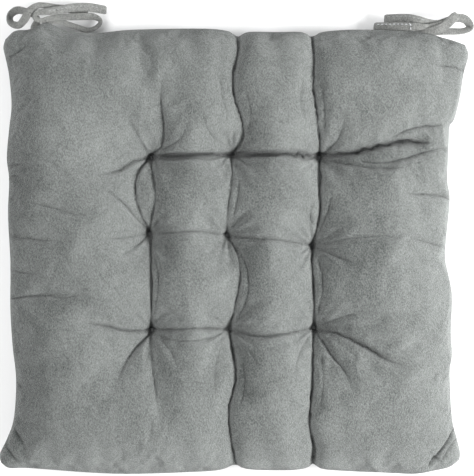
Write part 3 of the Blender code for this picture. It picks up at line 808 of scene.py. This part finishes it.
def refine(grid, factor):
    # the same surface on a finer grid, with smooth curves through the old points
    n = grid.shape[0] - 1
    weights = np.zeros((n * factor + 1, n + 3))
    for k in range(n * factor + 1):
        cell = min(k // factor, n - 1)
        t = k / factor - cell
        weights[k, cell: cell + 4] = [
            (-t + 2 * t * t - t**3) / 2, (2 - 5 * t * t + 3 * t**3) / 2,
            (t + 4 * t * t - 3 * t**3) / 2, (t**3 - t * t) / 2,
        ]
    ghost = np.zeros((n + 3, n + 1))
    ghost[1:-1] = np.eye(n + 1)
    ghost[0, :2] = (2, -1)
    ghost[-1, -2:] = (-1, 2)
    w = weights @ ghost
    return np.einsum("ai,ijc,bj->abc", w, grid, w)


def faceUp(grid):
    # normals of a grid surface
    alongU = np.gradient(grid, axis=0)
    alongV = np.gradient(grid, axis=1)
    normal = np.cross(alongU, alongV)
    return normal / np.maximum(np.linalg.norm(normal, axis=2, keepdims=True), 1e-12)


def pleats(x, y, chance):
    # small radiating pleats: each tuft has its own, and they die away with distance
    height = np.zeros(x.shape)
    for a, b in tuftSpots:
        away, angle = np.hypot(x - a, y - b), np.arctan2(y - b, x - a)
        wave = sum(chance.uniform(0.4, 1) * np.cos(count * angle + chance.uniform(0, 6.28))
                   for count in (5, 8, 11, 14))
        height += wave * np.exp(-(((away - 15) / 13) ** 2)) * 0.5
    return height * padShape["pleat"]


def gathers(x, y, edge, chance):
    # puckers where the cloth is eased into the seam, and longer faint ones further in
    height = np.zeros(x.shape)
    for along, across in ((y, x), (x, y)):
        side = (np.abs(across) > np.abs(along)) * 1.0
        for length, reach in ((9, 7), (14, 10), (23, 20), (37, 34)):
            for sign in (-1, 1):
                shift, lean = chance.uniform(0, 6.28), chance.uniform(-0.4, 0.4)
                swell = np.cos(along / (length * 3.1) + chance.uniform(0, 6.28))
                wave = np.cos(2 * math.pi * (along + lean * across) / length + shift + 1.4 * swell)
                here = side * (across * sign > 0) * (0.35 + 0.65 * np.clip(swell, 0, 1))
                height += wave * here * np.exp(-edge / reach) * length / 30
    return height * padShape["gather"]


def neighbours(values, reach, axis):
    # what lies within reach cells of each cell along one axis
    padded = np.pad(values, [(reach, reach) if k == axis else (0, 0) for k in (0, 1)], mode="edge")
    size = values.shape[axis]
    return [np.take(padded, range(k, k + size), axis=axis) for k in range(2 * reach + 1)]


def softened(values, cells):
    # averaged over a neighbourhood, three times over
    for axis in (0, 1, 0, 1, 0, 1):
        values = np.mean(neighbours(values, max(1, cells // 2), axis), axis=0)
    return values


# painted light and shade by slope; towards points at the key light's side
slopeLightAndShade = {
    "towards": (0.95, -0.28), "strength": 0.62, "over": 0.009, "span": 0.39,
    "mostDark": 0.34, "mostLight": 0.17,
}


def paintSlopeLightAndShade(surface):
    # painted light and shade on broad slopes: lighter on the side of a tuft that faces the key
    # light, darker on the other
    p = slopeLightAndShade
    cells = surface.shape[0] - 1
    height = softened(surface[..., 2], round(p["over"] * cells / p["span"]))
    run = p["span"] / cells
    slope = np.gradient(height, run, axis=0), np.gradient(height, run, axis=1)
    lean = -p["strength"] * (slope[0] * p["towards"][0] + slope[1] * p["towards"][1])
    return np.clip(lean, -p["mostDark"], p["mostLight"])


def mark(obj, name, values):
    attribute = obj.data.attributes.new(name, "FLOAT", "POINT")
    attribute.data.foreach_set("value", values.reshape(-1).astype(np.float32))


def makeCovers():
    p = padShape
    cells, topFine, underFine = p["cells"], p["topFine"], p["underFine"]
    top, under, away, rim = pillowGrids(cells)
    top, under = inflate(top, under, away, rim, inflation)

    top = refine(top, topFine)
    x, y = top[..., 0] / mm, top[..., 1] / mm
    near = tuftDistance(x, y)
    n = top.shape[0]
    edge = np.minimum.outer(np.minimum(np.arange(n), np.arange(n)[::-1]), np.full(n, n))
    edge = np.minimum(edge, edge.T) * (0.4 / (n - 1))
    hug = np.clip(edge / 0.006, 0, 1)
    lines = pressedFolds(x, y, "sharp")
    press = p["creaseShare"] * p["foldScale"] * lines + 1.6 * np.exp(-near / 1.8)
    chance = random.Random(11)
    press = press - pleats(x, y, chance) - gathers(x, y, edge / mm, chance)
    top = top - faceUp(top) * (press * hug * mm)[..., None]
    # painted shade: darker along the sharp fold lines and in the pit of each tuft
    creaseShade = np.clip(lines / 11, 0, 1) ** 1.1 + 0.5 * np.exp(-((near / 1.3) ** 1.5))
    topCover = addMesh("topCover", top.reshape(-1, 3), gridFaces(n), velvet)
    mark(topCover, "creaseShade", np.clip(creaseShade, 0, 1))
    # painted light and shade by slope, set for the key light's side
    mark(topCover, "lean", paintSlopeLightAndShade(top))

    under = refine(under, underFine)
    m = under.shape[0]
    underCover = addMesh("underCover", under.reshape(-1, 3), gridFaces(m, flip=True), underCloth)
    near = tuftDistance(under[..., 0] / mm, under[..., 1] / mm)
    # painted shade round each tuft on the underside
    mark(underCover, "creaseShade", 0.7 * np.exp(-((near / 4.0) ** 1.5)))
    return topCover, underCover, top, under


topCover, underCover, topSurface, underSurface = makeCovers()
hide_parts("top_cover")
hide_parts("bottom_cover")
for piece, name in ((topCover, "velvet"), (underCover, "underside_cloth")):
    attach(piece, "pad")
print("covers made")


def surfaceHeight(surface, x, y):
    # height of the cover above a place, from the nearest point of its grid
    gap = np.hypot(surface[..., 0] - x, surface[..., 1] - y)
    k = np.unravel_index(np.argmin(gap), gap.shape)
    return float(surface[k][2])


def lowest(values, reach):
    # the smallest value within reach cells of each cell
    for axis in (0, 1):
        values = np.min(neighbours(values, reach, axis), axis=0)
    return values


def makeFilling(f):
    # a slacker bag of fibre that stays clear of both covers
    n = f["cells"] + 1

    def inside(surface, sign):
        size = surface.shape[0]
        reach = math.ceil(size / f["cells"]) + 1
        height = sign * lowest(sign * surface[..., 2], reach) - sign * f["clear"]
        pick = np.linspace(size * f["inset"], size * (1 - f["inset"]), n).round().astype(int)
        grid = surface[np.ix_(pick, pick)].copy()
        grid[..., 2] = height[np.ix_(pick, pick)]
        return grid

    upper, lower = inside(topSurface, 1), inside(underSurface, -1)
    lower[..., :2] = upper[..., :2]
    middle = (upper[..., 2] + lower[..., 2]) / 2
    for rim in (np.s_[0, :], np.s_[-1, :], np.s_[:, 0], np.s_[:, -1]):
        upper[..., 2][rim] = lower[..., 2][rim] = middle[rim]
    verts = np.concatenate([upper.reshape(-1, 3), lower.reshape(-1, 3)])
    faces = [*gridFaces(n), *gridFaces(n, offset=n * n, flip=True)]
    obj = addMesh("filling", verts, faces, fibre)
    mesh = bmesh.new()
    mesh.from_mesh(obj.data)
    bmesh.ops.remove_doubles(mesh, verts=mesh.verts, dist=1e-6)
    mesh.to_mesh(obj.data)
    mesh.free()
    return obj


fibreLook = {
    "light": (0.86, 0.87, 0.88), "dark": (0.66, 0.67, 0.69),
    "sheen": 0.3, "sheenRoughness": 0.6, "sheenTint": (1, 1, 1), "specular": 0.2,
    "rough": (0.85, 0.98), "patchScale": 60.0, "grainScale": 700.0, "grainDepth": 0.5,
    "bump": 0.9, "bumpDistance": 0.0015,
}
fibre = makeVelvet("fibreFill", fibreLook)
fillingSize = {"cells": 48, "clear": 0.0012, "inset": 0.035}
filling = makeFilling(fillingSize)
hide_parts("fibre_filling")
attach(filling, "pad")
print("filling made")


def makeStitchGroup():
    # lays short stitches along a line: a line of edges in, finished stitches out
    group, given, out = newGroup("stitchRow", "GeometryNodeTree", {
        "Geometry": "Geometry", "Spacing": 0.0035, "Length": 0.0022, "Radius": 0.0003,
        "Unevenness": 0.12, "Slant": 0.0, "Seed": 3, "Material": "Material",
    }, {"Geometry": "Geometry"})
    curve = addNode(group, "GeometryNodeMeshToCurve", {"Mesh": given["Geometry"]})
    even = addNode(group, "GeometryNodeResampleCurve", {
        "Curve": curve.outputs["Curve"], "Length": given["Spacing"]}, mode="LENGTH")

    tangent = addNode(group, "GeometryNodeInputTangent")
    aim = addNode(group, "FunctionNodeAlignRotationToVector",
                  {"Vector": tangent.outputs[0]}, axis="Z")
    tip = addNode(group, "ShaderNodeCombineXYZ", {"Y": given["Slant"]})
    turn = addNode(group, "FunctionNodeEulerToRotation", {0: tip.outputs[0]})
    slant = addNode(group, "FunctionNodeRotateRotation", {
        "Rotation": aim.outputs[0], "Rotate By": turn.outputs[0]}, rotation_space="LOCAL")

    ball = addNode(group, "GeometryNodeMeshUVSphere", {"Segments": 6, "Rings": 5, "Radius": 1.0})
    size = addNode(group, "ShaderNodeCombineXYZ", {
        "X": given["Radius"], "Y": given["Radius"],
        "Z": maths(group, "MULTIPLY", given["Length"], 0.5)})
    stitch = addNode(group, "GeometryNodeTransform", {
        "Geometry": ball.outputs["Mesh"], "Scale": size.outputs[0]})
    vary = addNode(group, "FunctionNodeRandomValue", {
        2: maths(group, "SUBTRACT", 1.0, given["Unevenness"]), 3: 1.0, "Seed": given["Seed"],
    }, data_type="FLOAT")

    place = addNode(group, "GeometryNodeInstanceOnPoints", {
        "Points": even.outputs["Curve"], "Instance": stitch.outputs["Geometry"],
        "Rotation": slant.outputs[0], "Scale": vary.outputs[1]})
    real = addNode(group, "GeometryNodeRealizeInstances", {"Geometry": place.outputs["Instances"]})
    paint = addNode(group, "GeometryNodeSetMaterial", {
        "Geometry": real.outputs["Geometry"], "Material": given["Material"]})
    feed(group, out, {"Geometry": paint.outputs["Geometry"]})
    return group


stitchGroup = makeStitchGroup()


def stitchRow(name, points, settings, material):
    data = bpy.data.meshes.new(name + "Line")
    edges = [(k, k + 1) for k in range(len(points) - 1)]
    data.from_pydata([tuple(p) for p in points], edges, [])
    line = addObject(name + "Line", data)
    sewing = line.modifiers.new("stitches", "NODES")
    sewing.node_group = stitchGroup
    values = dict(settings, Material=material)
    for item in stitchGroup.interface.items_tree:
        if item.item_type == "SOCKET" and item.in_out == "INPUT" and item.name in values:
            sewing[item.identifier] = values[item.name]
    evaluated = line.evaluated_get(bpy.context.evaluated_depsgraph_get())
    finished = bpy.data.meshes.new_from_object(evaluated)
    line.modifiers.clear()
    bpy.data.objects.remove(line)
    finished.name = name
    finished.shade_smooth()
    return addObject(name, finished)


def roundTube(points, radius, sides=8):
    # verts and faces of a closed-ended thread along points
    verts = []
    points = [Vector(p) for p in points]
    side = None
    for k, place in enumerate(points):
        ahead, behind = points[min(k + 1, len(points) - 1)], points[max(k - 1, 0)]
        along = (ahead - behind).normalized()
        if side is None:
            side = along.orthogonal().normalized()
        side = (side - along * side.dot(along)).normalized()
        other = along.cross(side)
        for j in range(sides):
            a = 2 * math.pi * j / sides
            verts.append(place + radius * (math.cos(a) * side + math.sin(a) * other))
    return verts, tubeFaces(len(points), sides)


tuftThread = {"radius": 0.00030, "width": 0.0020, "turns": 3, "pitch": 0.0008}


def makeTuftThreads(t):
    # each tuft is a few turns of strong thread straight through the pad
    for k, (x, y) in enumerate(tuftSpots):
        row, column = k // 3 + 1, k % 3 + 1
        x, y = x * mm, y * mm
        top = surfaceHeight(topSurface, x, y)
        low = surfaceHeight(underSurface, x, y) - 0.0003
        verts, faces = [], []
        for turn in range(t["turns"]):
            shift = (turn - (t["turns"] - 1) / 2) * t["pitch"]
            half = t["width"] / 2 * (1 - 0.12 * turn)
            loop = [(x - half * 0.5, y + shift, low), (x - half, y + shift, low + 0.002),
                    (x - half, y + shift, top - 0.002), (x - half * 0.6, y + shift, top),
                    (x + half * 0.6, y + shift * 1.2, top), (x + half, y + shift, top - 0.002),
                    (x + half, y + shift, low + 0.002), (x + half * 0.5, y + shift, low),
                    (x - half * 0.4, y + shift, low - 0.0001)]
            more, sides = roundTube(smoothPath(loop, 0.0012), t["radius"])
            faces += [tuple(len(verts) + v for v in f) for f in sides]
            verts += more
        obj = addMesh(f"tuftThread_{row}_{column}", verts, faces, greyThread)
        orientOutwards(obj)
        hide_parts(f"tuft_stitch_{row}_{column}")
        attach(obj, "pad")


makeTuftThreads(tuftThread)
print("tufts tied")


def seamRing(inset, lift):
    # the seam line, drawn in a little and at another height
    middle = topSurface[topSurface.shape[0] // 2, topSurface.shape[0] // 2]
    edge = np.concatenate([topSurface[:-1, 0], topSurface[-1, :-1],
                           topSurface[:0:-1, -1], topSurface[0, :0:-1]])
    ring = edge[::3].copy()
    inward = (middle - ring)[:, :2]
    ring[:, :2] += inset * inward / np.linalg.norm(inward, axis=1, keepdims=True)
    ring[:, 2] = padSize["seamHeight"] + lift
    return np.concatenate([ring, ring[:1]])


seamSize = {"inset": 0.0018, "lift": 0.0011}
seamStitch = {"Spacing": 0.0030, "Length": 0.0024, "Radius": 0.00028, "Unevenness": 0.1, "Seed": 4}
for name, node, lift in (("needleThread", "seam_needle_thread", seamSize["lift"]),
                         ("bobbinThread", "seam_bobbin_thread", -seamSize["lift"])):
    thread = stitchRow(name, seamRing(seamSize["inset"], lift), seamStitch, greyThread)
    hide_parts(node)
    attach(thread, "pad")

# hand-sewn opening in the front edge, slanted over the seam
closingSize = {"half": 0.060, "out": -0.0004}
closingStitch = {"Spacing": 0.0048, "Length": 0.0036, "Radius": 0.0003, "Slant": 0.7, "Seed": 8}


def makeClosing(c):
    row = [(x, y - c["out"], z) for x, y, z in topSurface[:, 0] if abs(x) < c["half"]]
    obj = stitchRow("closingStitches", row, closingStitch, greyThread)
    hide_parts("closing_stitch")
    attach(obj, "pad")


makeClosing(closingSize)

# dashed topstitching near the ends of the ties
tieStitch = {
    "Spacing": 0.0038, "Length": 0.0028, "Radius": 0.00040, "Unevenness": 0.25, "Seed": 5,
}
tieStitchRun = {"from": 0.72, "to": 0.975, "inset": 0.0019, "leftShare": 0.1, "lift": 0.0002}


def makeTieStitches(r):
    made = {}
    for (side, kind), (strap, path, leaves) in straps.items():
        pale = (side, kind) == ("right", "tail")    # the row that shows
        frames = strapFrames(path)
        first, last = (int(len(frames) * r[k]) for k in ("from", "to"))
        row = []
        for place, along, across, face, share in frames[first:last]:
            up = face if face.z > 0 else -face
            back = across if across.y > 0 else -across
            out = strapSize["width"] / 2 * share - r["inset"]
            high = strapSize["thick"] / 2 * strapSize["plump"] * share
            row.append(place + back * out * (r["leftShare"] if side == "left" else 1) + up * high)
            if pale and len(row) == 1:    # a short row across, next to the knot
                row = [place - back * out + up * high, place + up * (high + r["lift"])] + row
        obj = stitchRow(f"{side}Stitches{kind.title()}", row, tieStitch,
                        paleThread if pale else softThread)
        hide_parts(f"{side}_tie_stitch_{kind}")
        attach(obj, tieRoutes[side]["body"])
        made[side, kind] = obj
    return made


tieStitches = makeTieStitches(tieStitchRun)
print("stitches sewn")

studio = {
    "keyAt": (1.0, -0.12, 0.82), "keySize": 0.45, "keyPower": 26.0,
    "fillAt": (-0.75, 0.1, 1.15), "fillSize": 0.8, "fillPower": 12.0, "aimHeight": 0.03,
    "worldStrength": 0.5, "worldColour": (0.98, 0.99, 1.0),
    "floorColour": (0.95, 0.95, 0.95), "floorRoughness": 0.9, "floorHalf": 3,
}


def addLamp(kind, s):
    data = bpy.data.lights.new(kind + "Light", "AREA")
    data.size, data.energy = s[kind + "Size"], s[kind + "Power"]
    obj = addObject(kind + "Light", data)
    obj.location = s[kind + "At"]
    aim = Vector((0, 0, s["aimHeight"])) - obj.location
    obj.rotation_euler = aim.to_track_quat("-Z", "Y").to_euler()
    return obj


def makeStudio(s):
    key, fill = addLamp("key", s), addLamp("fill", s)
    material, tree, shader = newMaterial("paleFloor")
    feed(tree, shader, {"Base Color": (*s["floorColour"], 1), "Roughness": s["floorRoughness"]})
    f = s["floorHalf"]
    corners = [(-f, -f, 0), (f, -f, 0), (f, f, 0), (-f, f, 0)]
    floor = addMesh("floor", corners, [(0, 1, 2, 3)], material)
    scene.world = bpy.data.worlds.new("studio")
    scene.world.use_nodes = True
    tree = scene.world.node_tree
    feed(tree, tree.nodes["Background"], {0: (*s["worldColour"], 1), 1: s["worldStrength"]})
    scene.view_settings.view_transform = "Standard"


makeStudio(studio)
print("studio ready")

# the straps hang free from where they are sewn to the pad at their first ends; their model parts
# are hidden and their meshes baked in place
for (side, kind), (strap, path, leaves) in straps.items():
    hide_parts(f"{side}_tie_strap_{kind}", f"{side}_tie_root_{kind}")
    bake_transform(strap)
